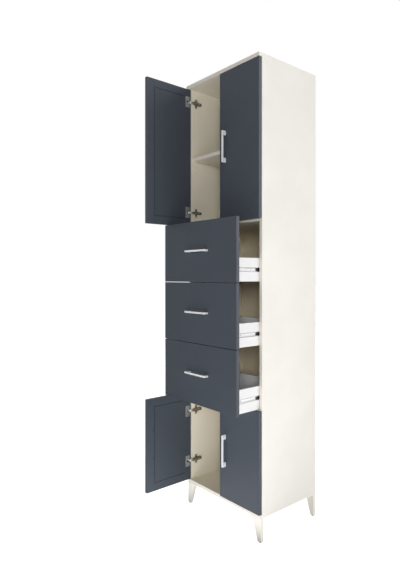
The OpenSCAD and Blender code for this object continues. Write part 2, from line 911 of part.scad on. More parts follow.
// Drawer k, counted from the lowest, is drawn with its front's lower edge and inner face at zero
module at_drawer(k) {
    stand() translate([0, -front_air - drawer_rest_out, drawer_z + k * drawer_pitch]) children();
}

// Cam, bolt and pin that hold a drawer side to the front, drawn at the left side, z above the box's lower edge
module box_cam_set(z, air = 0) {
    mid_x = -box_inner_x - box_t / 2;
    face_x = -box_inner_x;
    difference() {
        peg_x([face_x - box_cam_t - air, box_cam_in, z], box_cam_dia + 2 * air, box_cam_t + air);
        if (air == 0)
            peg_y([mid_x, box_cam_in - box_cam_dia / 2 - over, z], box_bolt_dia + 2 * fit, cam_bite + over);
    }
    peg_y([mid_x, -box_bolt_bite - air, z], box_bolt_dia + 2 * air, box_bolt_bite + box_cam_in - box_cam_dia / 2 + cam_bite + air);
}

module box_cams(air = 0) {
    translate([0, 0, box_lift]) both_sides() for (z = box_cam_zs) box_cam_set(z, air);
}

// Dowels that hold the drawer back between the sides
module box_dowels(air = 0) {
    dia = box_pin_dia + 2 * air;
    translate([0, 0, box_lift]) both_sides() for (z = box_cam_zs)
        peg_x([-box_inner_x - box_pin_l / 3 - air, box_l - box_t / 2, z], dia, box_pin_l + 2 * air);
}

module box_floor(air = 0) {
    x = box_inner_x + box_bottom_groove;
    z = box_lift + box_bottom_up;
    slab([-x - air, -box_bottom_groove - air, z - air], [x + air, box_l + air, z + box_bottom_t + air]);
}

module drawer_front(k) {
    color(slate) at_drawer(k) difference() {
        translate([-half_w + side_gap, 0, 0]) front_board(cabinet_w - 2 * side_gap, drawer_front_h);
        translate([0, -front_t, drawer_handle_z]) rotate([0, 90, 0]) handle_screw_holes();
        box_cams(fit);
        box_floor(fit);
    }
}

module drawer_sides(k) {
    groove_z = box_lift + runner_up - runner_groove_h / 2;
    color(box_white) at_drawer(k) both_sides() difference() {
        slab([-box_outer_x, 0, box_lift], [-box_inner_x, box_l, box_lift + box_h]);
        slab([-box_outer_x - over, -over, groove_z], [-runner_inner_x, box_l + over, groove_z + runner_groove_h]);
        box_cams(fit);
        box_dowels(fit);
        box_floor(fit);
        drawer_runner_screws(fit);
    }
}

module drawer_back(k) {
    low_z = box_lift + box_bottom_up + box_bottom_t + fit;
    color(box_white) at_drawer(k) difference() {
        slab([-box_inner_x, box_l - box_t, low_z], [box_inner_x, box_l, box_lift + box_h]);
        box_dowels(fit);
    }
}

module drawer_bottom(k) {
    color(box_white) at_drawer(k) box_floor();
}

module drawer_handle(k) {
    color(satin_steel) at_drawer(k) translate([0, -front_t, drawer_handle_z]) rotate([0, 90, 0]) handle();
}

// Drawer member of the left runner: a channel in the side's groove that opens towards the side panel
module drawer_runner_screws(air = 0) {
    for (y = runner_screw_ys) {
        shank_l = box_t - runner_groove_d - over;
        peg_x([-runner_inner_x - runner_wall, y, box_lift + runner_up], runner_screw_dia + 2 * air, runner_wall + shank_l + air);
        if (air == 0)
            peg_x([-runner_inner_x - runner_wall - runner_head_t, y, box_lift + runner_up], runner_head_dia, runner_head_t);
    }
}

module drawer_runners(k) {
    out_x = runner_inner_x + runner_member_t;
    low_z = box_lift + runner_up - runner_member_h / 2;
    start = front_air + runner_setback;
    color(zinc) at_drawer(k) both_sides() difference() {
        slab([-out_x, start, low_z], [-runner_inner_x, start + runner_l, low_z + runner_member_h]);
        slab(
            [-out_x - over, start - over, low_z + runner_wall],
            [-runner_inner_x - runner_wall, start + runner_l + over, low_z + runner_member_h - runner_wall]
        );
        drawer_runner_screws(fit);
    }
}

module drawer_fittings(k) {
    color(zinc) at_drawer(k) {
        translate([0, -front_t, drawer_handle_z]) rotate([0, 90, 0]) handle_screws();
        box_cams();
        box_dowels();
        both_sides() drawer_runner_screws();
    }
}

module top_drawer_front() {
    drawer_front(2);
}

module top_drawer_sides() {
    drawer_sides(2);
}

module top_drawer_back() {
    drawer_back(2);
}

module top_drawer_bottom() {
    drawer_bottom(2);
}

module top_drawer_handle() {
    drawer_handle(2);
}

module top_drawer_runners() {
    drawer_runners(2);
}

module top_drawer_fittings() {
    drawer_fittings(2);
}

module middle_drawer_front() {
    drawer_front(1);
}

module middle_drawer_sides() {
    drawer_sides(1);
}

module middle_drawer_back() {
    drawer_back(1);
}

module middle_drawer_bottom() {
    drawer_bottom(1);
}

module middle_drawer_handle() {
    drawer_handle(1);
}

module middle_drawer_runners() {
    drawer_runners(1);
}

module middle_drawer_fittings() {
    drawer_fittings(1);
}

module bottom_drawer_front() {
    drawer_front(0);
}

module bottom_drawer_sides() {
    drawer_sides(0);
}

module bottom_drawer_back() {
    drawer_back(0);
}

module bottom_drawer_bottom() {
    drawer_bottom(0);
}

module bottom_drawer_handle() {
    drawer_handle(0);
}

module bottom_drawer_runners() {
    drawer_runners(0);
}

module bottom_drawer_fittings() {
    drawer_fittings(0);
}

top_board();
bottom_board();
left_side_panel();
right_side_panel();
upper_divider();
lower_divider();
back_panel();
adjustable_shelf();
shelf_pins();
front_left_leg();
front_right_leg();
rear_left_leg();
rear_right_leg();
leg_glides();
carcass_screws();
cam_fittings();
wood_dowels();
wall_brackets();
hinge_plates();
hinge_arms();
hinge_pins();
hinge_screws();
cabinet_runners();
upper_left_door();
upper_left_handle();
upper_left_cups();
upper_left_screws();
upper_right_door();
upper_right_handle();
upper_right_cups();
upper_right_screws();
lower_left_door();
lower_left_handle();
lower_left_cups();
lower_left_screws();
lower_right_door();
lower_right_handle();
lower_right_cups();
lower_right_screws();
top_drawer_front();
top_drawer_sides();
top_drawer_back();
top_drawer_bottom();
top_drawer_handle();
top_drawer_runners();
top_drawer_fittings();
middle_drawer_front();
middle_drawer_sides();
middle_drawer_back();
middle_drawer_bottom();
middle_drawer_handle();
middle_drawer_runners();
middle_drawer_fittings();
bottom_drawer_front();
bottom_drawer_sides();
bottom_drawer_back();
bottom_drawer_bottom();
bottom_drawer_handle();
bottom_drawer_runners();
bottom_drawer_fittings();
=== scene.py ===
"""A tall storage cabinet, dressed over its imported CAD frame.

Every object is in metres and in the cabinet's own frame: +Z is up, -Y is the front, and the origin is on
the floor under the middle of the carcass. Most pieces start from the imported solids, which carry every
bore, and get softened edges. The handles, the screws' recesses and the doors' dots are modelled here.
Sizes in the fields of the parts' classes are in millimetres. Those of the finishes and of the studio are
in metres, unless a field's name says otherwise.
"""

import functools
import json
import logging
import math
from collections.abc import Iterable, Mapping, Sequence
from dataclasses import dataclass, field
from enum import Enum

import bmesh
import bpy
from bmesh.types import BMEdge, BMesh, BMFace, BMVert
from mathutils import Matrix, Vector

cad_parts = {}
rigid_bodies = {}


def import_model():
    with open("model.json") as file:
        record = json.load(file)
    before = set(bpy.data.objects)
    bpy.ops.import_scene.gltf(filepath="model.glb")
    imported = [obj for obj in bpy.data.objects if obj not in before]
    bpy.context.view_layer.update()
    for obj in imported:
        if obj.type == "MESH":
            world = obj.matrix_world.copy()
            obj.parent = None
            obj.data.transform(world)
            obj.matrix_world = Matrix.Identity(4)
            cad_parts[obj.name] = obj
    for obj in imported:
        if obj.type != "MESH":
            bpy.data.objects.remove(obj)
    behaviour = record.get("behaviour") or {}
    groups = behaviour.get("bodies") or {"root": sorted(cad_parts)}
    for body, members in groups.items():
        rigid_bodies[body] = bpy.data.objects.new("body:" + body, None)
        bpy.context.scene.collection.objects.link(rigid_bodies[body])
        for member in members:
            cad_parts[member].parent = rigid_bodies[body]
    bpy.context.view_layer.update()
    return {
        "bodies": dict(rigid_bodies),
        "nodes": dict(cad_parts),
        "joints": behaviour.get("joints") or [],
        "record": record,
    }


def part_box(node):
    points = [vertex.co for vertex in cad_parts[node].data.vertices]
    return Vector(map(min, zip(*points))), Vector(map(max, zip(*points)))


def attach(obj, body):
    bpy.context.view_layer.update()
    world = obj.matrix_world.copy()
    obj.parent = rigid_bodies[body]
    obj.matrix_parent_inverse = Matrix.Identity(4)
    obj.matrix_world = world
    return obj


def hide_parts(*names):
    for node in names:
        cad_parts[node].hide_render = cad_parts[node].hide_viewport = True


LOG = logging.getLogger("cabinet")
MM = 0.001
HAIR = 1e-6  # metres: two coordinates are the same number
TOUCH = 1e-5  # metres: two points are in the same place
FACING = 0.99  # the least cosine at which a face counts as facing a direction

Colour = tuple[float, float, float]
Place = tuple[float, float, float]


def srgb(red: float, green: float, blue: float) -> Colour:
    """Turns display values from 0 to 255 into a linear colour.

    Args:
        red: Red as a screen shows it.
        green: Green as a screen shows it.
        blue: Blue as a screen shows it.

    Returns:
        The linear colour that a shader takes.
    """
    def linear(value: float) -> float:
        """One channel, made linear."""
        share = value / 255
        return share / 12.92 if share <= 0.04045 else ((share + 0.055) / 1.055) ** 2.4

    return linear(red), linear(green), linear(blue)


def toned(colour: Colour, factor: float) -> Colour:
    """A colour made darker or lighter.

    Args:
        colour: The colour.
        factor: What each channel is multiplied by.

    Returns:
        The new colour, with no channel above 1.
    """
    return tuple(min(1.0, factor * channel) for channel in colour)


class Axis(Enum):
    """A direction of the cabinet's frame."""

    X = 0
    Y = 1
    Z = 2

    @property
    def vector(self) -> Vector:
        """The unit vector along this direction."""
        unit = Vector((0.0, 0.0, 0.0))
        unit[self.value] = 1.0
        return unit


class Slot(Enum):
    """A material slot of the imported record."""

    CREAM_FOIL = "cream_foil"
    CREAM_BOARD = "cream_board"
    CREAM_PLASTIC = "cream_plastic"
    SLATE_FRONT = "slate_front"
    WHITE_FOIL = "white_foil"
    SATIN_NICKEL = "satin_nickel"
    NICKEL = "nickel"
    ZINC_STEEL = "zinc_steel"
    RUNNER_STEEL = "runner_steel"
    GREY_PLASTIC = "grey_plastic"
    BEECH = "beech"


class Reading:
    """A value that changes over a surface. Python's operators on it add Math nodes."""

    def __init__(self, graph: "Graph", output: bpy.types.NodeSocket) -> None:
        """Wraps an output of one of the graph's nodes."""
        self.graph = graph
        self.output = output

    def _math(self, operation: str, *values: "Reading | float") -> "Reading":
        """A Math node on these values."""
        return self.graph.read("ShaderNodeMath", {"operation": operation}, dict(enumerate(values)))

    def __add__(self, other: "Reading | float") -> "Reading":
        """The sum."""
        return self._math("ADD", self, other)

    __radd__ = __add__

    def __sub__(self, other: "Reading | float") -> "Reading":
        """The difference."""
        return self._math("SUBTRACT", self, other)

    def __mul__(self, other: "Reading | float") -> "Reading":
        """The product."""
        return self._math("MULTIPLY", self, other)

    def larger(self, other: "Reading") -> "Reading":
        """The larger of the two."""
        return self._math("MAXIMUM", self, other)

    def swing(self, amount: float) -> "Reading":
        """The value's swing about 0.5, times an amount."""
        return (self - 0.5) * amount

    def clamped(self, low: float, high: float) -> "Reading":
        """The value, spread over 0 to 1 with a soft start and end.

        Args:
            low: What becomes 0.
            high: What becomes 1.

        Returns:
            The spread value.
        """
        ranges = {"From Min": low, "From Max": high, "Value": self}
        return self.graph.read("ShaderNodeMapRange", {"interpolation_type": "SMOOTHSTEP"}, ranges)


class Graph:
    """A node tree under construction."""

    def __init__(self, tree: bpy.types.NodeTree) -> None:
        """Empties the tree."""
        self.tree = tree
        self.tree.nodes.clear()

    def fill(self, node: bpy.types.Node, sockets: Mapping[str | int, object]) -> None:
        """Gives a node's inputs their values or links.

        Args:
            node: The node.
            sockets: The values or links, by the input's name or number.
        """
        for key, value in sockets.items():
            if isinstance(value, Reading):
                self.tree.links.new(value.output, node.inputs[key])
            elif isinstance(value, tuple) and node.inputs[key].type == "RGBA":
                node.inputs[key].default_value = (*value, 1.0)
            else:
                node.inputs[key].default_value = value

    def read(
        self, kind: str, settings: Mapping[str, object], sockets: Mapping[str | int, object],
        output: str | int = 0,
    ) -> Reading:
        """Adds a node.

        Args:
            kind: The node's type.
            settings: Its settings, which are set first.
            sockets: The values or links of its inputs, by name or number.
            output: The output that is read.

        Returns:
            The reading of that output.
        """
        node = self.tree.nodes.new(kind)
        for name, value in settings.items():
            setattr(node, name, value)
        self.fill(node, sockets)
        return Reading(self, node.outputs[output])

    def end(self, kind: str, surface: Reading) -> None:
        """Adds the output node.

        Args:
            kind: The node's type.
            surface: What it shows.
        """
        self.fill(self.tree.nodes.new(kind), {"Surface": surface})


class Shader(Graph):
    """One material under construction around a Principled shader."""

    def __init__(self, name: str) -> None:
        """Starts a material with a Principled shader in it."""
        self.material = bpy.data.materials.new(name)
        self.material.use_nodes = True
        super().__init__(self.material.node_tree)
        surface = self.read("ShaderNodeBsdfPrincipled", {}, {})
        self.principled = surface.output.node
        self.end("ShaderNodeOutputMaterial", surface)
        self.place = self.read("ShaderNodeTexCoord", {}, {}, "Object")

    def set(self, sockets: Mapping[str, object]) -> None:
        """Gives the Principled shader's inputs their values or links."""
        self.fill(self.principled, sockets)

    def mixed(
        self, share: Reading | float, first: Reading | Colour, second: Reading | Colour,
    ) -> Reading:
        """A colour between two others.

        Args:
            share: 0 for the first colour, 1 for the second.
            first: The first colour.
            second: The second colour.

        Returns:
            The mixed colour.
        """
        return self.read("ShaderNodeMix", {"data_type": "RGBA"}, {0: share, 6: first, 7: second}, 2)

    def stretched(self, stretch: Sequence[float]) -> Reading:
        """Object coordinates, scaled along each axis."""
        scales = {"Vector": self.place, "Scale": tuple(stretch)}
        return self.read("ShaderNodeMapping", {}, scales)

    def noise(self, scale: float, detail: float = 2.0, where: Reading | None = None) -> Reading:
        """Smooth noise about 0.5.

        Args:
            scale: Waves per metre.
            detail: Octaves.
            where: The coordinates, if they aren't plain Object ones.

        Returns:
            The noise.
        """
        sockets = {"Vector": where or self.place, "Scale": scale, "Detail": detail}
        return self.read("ShaderNodeTexNoise", {}, sockets)

    def cells(self, scale: float) -> Reading:
        """Distance to the nearest of many scattered points, scale of them per metre."""
        return self.read("ShaderNodeTexVoronoi", {}, {"Vector": self.place, "Scale": scale})

    def mark(self, name: str) -> Reading:
        """A number that the mesh carries."""
        return self.read("ShaderNodeAttribute", {"attribute_name": name}, {}, "Fac")

    def relief(self, height: Reading, depth: float, strength: float = 1.0) -> None:
        """Lets a relief show in the shading.

        Args:
            height: Its height, from 0 to 1.
            depth: How deep it is, in metres.
            strength: How much of it shows.
        """
        sockets = {"Height": height, "Distance": depth, "Strength": strength}
        self.set({"Normal": self.read("ShaderNodeBump", {}, sockets)})


@dataclass(frozen=True)
class Finish:
    """What every finish has: a name, the record's slot and a colour."""

    name: str
    slot: Slot
    colour: Colour

    def paint(self, shader: Shader) -> None:
        """Fills in the shader."""
        raise NotImplementedError


@functools.lru_cache(maxsize=None)
def material_of(finish: Finish) -> bpy.types.Material:
    """The material of a finish, made once."""
    shader = Shader(finish.name)
    finish.paint(shader)
    return shader.material


@dataclass(frozen=True)
class Foil(Finish):
    """Matt decor foil on board, with a pearl grain, faint clouding and slightly rubbed edges."""

    rubbed: Colour
    roughness: float
    gloss: float
    grain: float = 1400.0
    depth: float = 0.00006
    cloud_tones: tuple[float, float] = (0.97, 1.02)
    speckled: float = 0.25
    worn: float = 0.5

    def paint(self, shader: Shader) -> None:
        """Fills in the shader."""
        clouds = shader.noise(5.0, detail=3.0)
        specks = shader.noise(self.grain * 0.6, detail=1.0)
        grain = shader.noise(self.grain, detail=2.0)
        handled = shader.noise(28.0, detail=4.0)
        darker, lighter = (toned(self.colour, factor) for factor in self.cloud_tones)
        tone = shader.mixed(clouds.clamped(0.3, 0.7), darker, lighter)
        tone = shader.mixed(specks.swing(self.speckled) + 0.06, tone, darker)
        wear = shader.mark("edge") * shader.noise(60.0, detail=3.0).clamped(0.35, 0.75)
        sheen = handled.swing(0.14) + grain.swing(0.06) - wear * 0.08
        shader.set({
            "Base Color": shader.mixed(wear * self.worn, tone, self.rubbed),
            "Roughness": self.roughness + sheen,
            "Specular IOR Level": self.gloss,
        })
        shader.relief(grain + shader.cells(self.grain * 0.5) * 0.5, depth=self.depth, strength=0.5)


@dataclass(frozen=True)
class BrushedMetal(Finish):
    """Satin metal, brushed along one axis."""

    along: Axis
    roughness: float = 0.42
    metal: float = 0.15
    scratches_across: float = 1900.0
    scratches_along: float = 16.0

    def paint(self, shader: Shader) -> None:
        """Fills in the shader."""
        stretch = [self.scratches_across] * 3
        stretch[self.along.value] = self.scratches_along
        brushing = shader.noise(1.0, detail=3.0, where=shader.stretched(stretch))
        handled = shader.noise(45.0, detail=3.0)
        wear = shader.mark("edge") * 0.35
        tone = shader.mixed(brushing.clamped(0.3, 0.7), toned(self.colour, 0.88), self.colour)
        sheen = brushing.swing(0.12) + handled.swing(0.1) - wear * 0.2
        shader.set({
            "Base Color": shader.mixed(wear, tone, toned(self.colour, 1.12)),
            "Metallic": self.metal,
            "Roughness": self.roughness + sheen,
        })
        shader.relief(brushing, depth=0.00003, strength=0.4)


@dataclass(frozen=True)
class PressedMetal(Finish):
    """Pressed and plated steel, with soft dents from the press and faint stains."""

    roughness: float
    stain: Colour
    metal: float = 1.0

    def paint(self, shader: Shader) -> None:
        """Fills in the shader."""
        dents = shader.noise(160.0, detail=2.0)
        frost = shader.noise(2200.0, detail=2.0)
        stains = shader.noise(70.0, detail=5.0).clamped(0.56, 0.82)
        shader.set({
            "Base Color": shader.mixed(stains * 0.35, self.colour, self.stain),
            "Metallic": self.metal,
            "Roughness": self.roughness + frost.swing(0.16) + stains * 0.12,
        })
        shader.relief(dents + frost * 0.12, depth=0.00012, strength=0.35)


@dataclass(frozen=True)
class MouldedPlastic(Finish):
    """Injection-moulded plastic with a spark-eroded grain."""

    roughness: float

    def paint(self, shader: Shader) -> None:
        """Fills in the shader."""
        grain = shader.cells(2600.0)
        shade = shader.noise(90.0, detail=2.0)
        shader.set({
            "Base Color": shader.mixed(shade.clamped(0.35, 0.7), toned(self.colour, 0.9), self.colour),
            "Roughness": self.roughness + shade.swing(0.1),
        })
        shader.relief(grain, depth=0.00005, strength=0.4)


@dataclass(frozen=True)
class Beech(Finish):
    """Turned beech with its grain along the dowels and short dark flecks."""

    fleck: Colour = (0.32, 0.2, 0.1)

    def paint(self, shader: Shader) -> None:
        """Fills in the shader."""
        rings = shader.noise(1.0, detail=4.0, where=shader.stretched((260.0, 260.0, 60.0)))
        short = shader.stretched((1500.0, 1500.0, 300.0))
        flecks = shader.noise(1.0, detail=1.0, where=short).clamped(0.62, 0.7)
        tone = shader.mixed(rings.clamped(0.35, 0.65), self.colour, toned(self.colour, 1.15))
        shader.set({
            "Base Color": shader.mixed(flecks * 0.6, tone, self.fleck),
            "Roughness": 0.55 + rings.swing(0.15),
        })
        shader.relief(rings, depth=0.0001, strength=0.4)


# What the stains on pressed and plated metal look like, as linear colours
SOOT: Colour = (0.03, 0.03, 0.03)
TARNISH: Colour = (0.12, 0.11, 0.1)
GREASE: Colour = (0.2, 0.21, 0.21)
DULL: Colour = (0.28, 0.29, 0.28)
BLOOM: Colour = (0.34, 0.35, 0.34)
HAZE: Colour = (0.6, 0.59, 0.57)
DUST: Colour = (0.7, 0.7, 0.69)

SLATE = Foil(
    "slate_lacquer_foil", Slot.SLATE_FRONT, srgb(70, 76, 85),
    rubbed=srgb(104, 109, 116), roughness=0.5, gloss=0.2,
)
# Painted light: a lighter slate tone on the drawer fronts' side edges and the doors' hinge-side edges,
# standing in for the light from the right on the right-facing edges
SLATE_EDGE_PAINTED_LIGHT = Foil(
    "slate_edge_painted_light", Slot.SLATE_FRONT, srgb(83, 86, 92),
    rubbed=srgb(110, 113, 118), roughness=0.45, gloss=0.25,
)
# Painted shade: near-black inside the doors' dots, standing in for the shade in the small holes
DOT_PAINTED_SHADE = Foil(
    "dot_painted_shade", Slot.SLATE_FRONT, srgb(10, 12, 15),
    rubbed=srgb(14, 16, 19), roughness=0.8, gloss=0.05,
)
CREAM = Foil(
    "cream_decor_foil", Slot.CREAM_FOIL, srgb(242, 239, 232),
    rubbed=srgb(250, 248, 243), roughness=0.48, gloss=0.35,
)
# Painted shade: a darker, warmer cream on the boards' front edges, standing in for the shade and warm
# bounce light on them
CREAM_FRONT_EDGE_PAINTED_SHADE = Foil(
    "cream_edge_painted_shade", Slot.CREAM_FOIL, srgb(233, 226, 215),
    rubbed=srgb(244, 239, 230), roughness=0.46, gloss=0.35,
)
CREAM_LEG = Foil(
    "cream_leg_lacquer", Slot.CREAM_FOIL, srgb(246, 242, 233),
    rubbed=srgb(250, 247, 240), roughness=0.46, gloss=0.35,
)
# Painted shade: a darker, warmer cream on the carcass's inner faces, standing in for the shade and warm
# bounce light inside it
CREAM_INSIDE_PAINTED_SHADE = Foil(
    "cream_inner_painted_shade", Slot.CREAM_FOIL, srgb(236, 229, 211),
    rubbed=srgb(243, 237, 221), roughness=0.5, gloss=0.3,
)
CREAM_SHEET = Foil(
    "cream_back_sheet", Slot.CREAM_BOARD, srgb(242, 227, 199),
    rubbed=srgb(246, 234, 211), roughness=0.6, gloss=0.3,
)
WHITE = Foil(
    "white_drawer_foil", Slot.WHITE_FOIL, srgb(235, 235, 235),
    rubbed=srgb(242, 242, 242), roughness=0.42, gloss=0.35,
)
# Painted reflection: a near-white, mostly non-metallic colour on the handles' satin metal, standing in
# for its bright reflections
SATIN_UPRIGHT = BrushedMetal("upright_satin_painted_reflection", Slot.SATIN_NICKEL, srgb(252, 251, 249), Axis.Z)
SATIN_LEVEL = BrushedMetal("level_satin_painted_reflection", Slot.SATIN_NICKEL, srgb(252, 251, 249), Axis.X)
# Painted highlight: a near-white, mostly non-metallic colour on the hinge arms' links, standing in for
# their bright glint
NICKEL = PressedMetal(
    "nickel_painted_glint", Slot.NICKEL, srgb(250, 250, 248), roughness=0.34, stain=HAZE, metal=0.2,
)
FLANGE = PressedMetal(
    "dull_nickel_flange", Slot.NICKEL, srgb(162, 166, 164), roughness=0.42, stain=DULL, metal=0.45,
)
# Painted shade: a dark tone on the cups' rims around the flanges, standing in for the shadow there
CUP_RIM_PAINTED_SHADE = PressedMetal(
    "cup_rim_painted_shade", Slot.NICKEL, srgb(70, 74, 80), roughness=0.5, stain=SOOT, metal=0.2,
)
# Painted reflection: a brownish tone on the nickel of the hinge plates, the arms inside the carcass and
# the cups, standing in for their reflection of the beige interior
NICKEL_PAINTED_REFLECTION = PressedMetal(
    "nickel_painted_reflection", Slot.NICKEL, srgb(143, 138, 122), roughness=0.34, stain=TARNISH, metal=0.7,
)
ZINC = PressedMetal(
    "bright_zinc", Slot.ZINC_STEEL, srgb(196, 199, 202), roughness=0.34, stain=BLOOM,
)
BLACKENED = PressedMetal(
    "blackened_steel", Slot.ZINC_STEEL, srgb(58, 62, 68), roughness=0.45, stain=SOOT, metal=0.3,
)
RUNNER = PressedMetal(
    "galvanised_runner", Slot.RUNNER_STEEL, srgb(150, 152, 154), roughness=0.38, stain=GREASE,
)
COATED = PressedMetal(
    "white_coated_runner", Slot.RUNNER_STEEL, srgb(236, 236, 237), roughness=0.4, stain=DUST, metal=0.0,
)
PIN_PLASTIC = MouldedPlastic("cream_pin_plastic", Slot.CREAM_PLASTIC, srgb(236, 230, 214), roughness=0.4)
GLIDE_PLASTIC = MouldedPlastic("grey_glide_plastic", Slot.GREY_PLASTIC, srgb(92, 93, 96), roughness=0.55)
BEECH = Beech("turned_beech", Slot.BEECH, srgb(206, 168, 120))


@dataclass
class Cabinet:
    """The loaded frame, and what every sub-assembly needs from it."""

    nodes: Mapping[str, bpy.types.Object]
    body_of_node: Mapping[str, str]
    made: list[bpy.types.Object] = field(default_factory=list)

    @classmethod
    def from_frame(cls, frame: Mapping[str, object]) -> "Cabinet":
        """Reads the nodes and bodies of the loaded frame."""
        bodies = frame["record"]["behaviour"]["bodies"]
        owner = {node: body for body, members in bodies.items() for node in members}
        return cls(frame["nodes"], owner)

    def ahead(self, distance: float) -> Vector:
        """A point some millimetres ahead of the side panels' front edges."""
        return Vector((0.0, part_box("left_side_panel")[0].y - distance * MM, 0.0))

    def keep(self, node: str, finish: Finish) -> None:
        """Shows a CAD node as it is, in a procedural finish.

        Args:
            node: The CAD node.
            finish: The finish.
        """
        shown = self.nodes[node]
        shown.data.materials.clear()
        shown.data.materials.append(material_of(finish))

    def place(self, shape: "Shape", name: str, finishes: Sequence[Finish], node: str) -> None:
        """Makes a finished shape an object that stands for a CAD node.

        Args:
            shape: The shape.
            name: The piece's name.
            finishes: Its finishes, the main one first, in the order of the faces' material numbers.
            node: The CAD node that it replaces.
        """
        piece = shape.to_object(name)
        for finish in finishes:
            piece.data.materials.append(material_of(finish))
        even = piece.modifiers.new("even_shading", "WEIGHTED_NORMAL")
        even.keep_sharp = True
        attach(piece, self.body_of_node[node])
        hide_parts(node)
        self.made.append(piece)
        LOG.info("%s: %d faces", name, len(piece.data.polygons))

    def copied(self, node: str) -> "Shape":
        """A workable copy of a CAD node's solids."""
        return Shape.from_mesh(self.nodes[node].data)


@dataclass
class Solid:
    """One separate solid of a shape: its vertices and the box around them."""

    verts: list[BMVert]
    low: Vector
    high: Vector

    @property
    def middle(self) -> Vector:
        """The middle of the box."""
        return (self.low + self.high) / 2

    @property
    def axis(self) -> Axis:
        """The axis along which the solid is longest."""
        size = self.high - self.low
        return Axis(max(range(3), key=lambda k: size[k]))


class Shape:
    """A mesh under construction, in metres and in the cabinet's frame."""

    def __init__(self) -> None:
        """Starts an empty mesh whose faces carry the edge mark."""
        self.bm: BMesh = bmesh.new()
        self.find_edge_mark()

    def find_edge_mark(self) -> None:
        """Finds the layer that tells the shaders where an edge is worn, or starts it."""
        layers = self.bm.faces.layers.float
        self.edge_mark = layers.get("edge") or layers.new("edge")

    @classmethod
    def from_mesh(cls, mesh: bpy.types.Mesh) -> "Shape":
        """A copy of a mesh of loose triangles, joined and with its flat faces made whole."""
        shape = cls()
        shape.bm.from_mesh(mesh)
        bmesh.ops.remove_doubles(shape.bm, verts=shape.bm.verts, dist=2 * HAIR)
        bmesh.ops.dissolve_limit(
            shape.bm, angle_limit=math.radians(0.4), use_dissolve_boundaries=False,
            verts=shape.bm.verts, edges=shape.bm.edges, delimit={"NORMAL"},
        )
        shape.find_edge_mark()
        return shape

    def solids(self) -> list[Solid]:
        """The separate solids of the shape."""
        found, seen = [], set()
        for start in self.bm.verts:
            if start in seen:
                continue
            seen.add(start)
            group, open_ends = [start], [start]
            while open_ends:
                for edge in open_ends.pop().link_edges:
                    for vert in edge.verts:
                        if vert not in seen:
                            seen.add(vert)
                            group.append(vert)
                            open_ends.append(vert)
            columns = list(zip(*(v.co for v in group)))
            found.append(Solid(group, Vector(map(min, columns)), Vector(map(max, columns))))
        return found

    def sharp_edges(self, angle: float, facet: float) -> list[BMEdge]:
        """The convex edges between two large faces.

        Args:
            angle: The least angle between the faces, in degrees.
            facet: The least area of either face, in square millimetres. It leaves out the rims of bores.

        Returns:
            The edges.
        """
        least = facet * MM * MM
        return [
            e for e in self.bm.edges
            if len(e.link_faces) == 2 and e.is_convex
            and e.calc_face_angle(0.0) > math.radians(angle)
            and min(f.calc_area() for f in e.link_faces) >= least
        ]

    def facing(self, way: Vector) -> list[BMFace]:
        """The faces that look in a direction."""
        return [face for face in self.bm.faces if face.normal.dot(way) > FACING]

    def soften(self, edges: Iterable[BMEdge], radius: float, segments: int = 2) -> None:
        """Rounds edges and marks the new faces as worn.

        Args:
            edges: The edges.
            radius: The radius in millimetres.
            segments: Faces across the round.
        """
        chosen = list(edges)
        if not chosen:
            return
        made = bmesh.ops.bevel(
            self.bm, geom=chosen, offset=radius * MM, offset_type="OFFSET", affect="EDGES",
            segments=segments, profile=0.5, material=-1, clamp_overlap=True,
        )
        for face in made["faces"]:
            face[self.edge_mark] = 1.0

    def cone(
        self, at: Vector, direction: Vector, wide: float, narrow: float, depth: float, sides: int,
    ) -> None:
        """Adds a closed cone with a cut-off tip.

        Args:
            at: The middle of its first end.
            direction: The way it goes from there.
            wide: The radius there, in metres.
            narrow: The radius at the far end, in metres.
            depth: Its length, in metres.
            sides: Facets round it.
        """
        turn = direction.to_track_quat("Z", "Y").to_matrix().to_4x4()
        spot = Matrix.Translation(at + direction * depth / 2) @ turn
        bmesh.ops.create_cone(
            self.bm, cap_ends=True, segments=sides, radius1=wide, radius2=narrow, depth=depth,
            matrix=spot,
        )

    def cut(self, cutter: "Shape") -> None:
        """Takes another shape away from this one. The cut faces keep the cutter's material number."""
        body, tool = self.to_object("cut_body"), cutter.to_object("cut_tool")
        knife = body.modifiers.new("cut", "BOOLEAN")
        knife.operation, knife.solver, knife.object = "DIFFERENCE", "EXACT", tool
        knife.material_mode = "INDEX"
        evaluated = body.evaluated_get(bpy.context.evaluated_depsgraph_get())
        result = bpy.data.meshes.new_from_object(evaluated)
        self.bm.clear()
        self.bm.from_mesh(result)
        self.find_edge_mark()
        bpy.data.meshes.remove(result)
        for spare in (body, tool):
            mesh = spare.data
            bpy.data.objects.remove(spare)
            bpy.data.meshes.remove(mesh)

    def part(self, at: Vector, way: Vector) -> None:
        """Gives everything past a plane the second finish.

        Args:
            at: A point of the plane.
            way: The plane's normal, towards what gets the second finish.
        """
        everything = [*self.bm.verts, *self.bm.edges, *self.bm.faces]
        bmesh.ops.bisect_plane(self.bm, geom=everything, dist=HAIR, plane_co=at, plane_no=way)
        for face in self.bm.faces:
            if (face.calc_center_median() - at).dot(way) > 0:
                face.material_index = 1

    def to_object(self, name: str) -> bpy.types.Object:
        """A new object with this shape, smooth but for its sharp edges."""
        mesh = bpy.data.meshes.new(name)
        self.bm.to_mesh(mesh)
        mesh.shade_smooth()
        mesh.set_sharp_from_angle(angle=math.radians(38))
        piece = bpy.data.objects.new(name, mesh)
        bpy.context.scene.collection.objects.link(piece)
        return piece


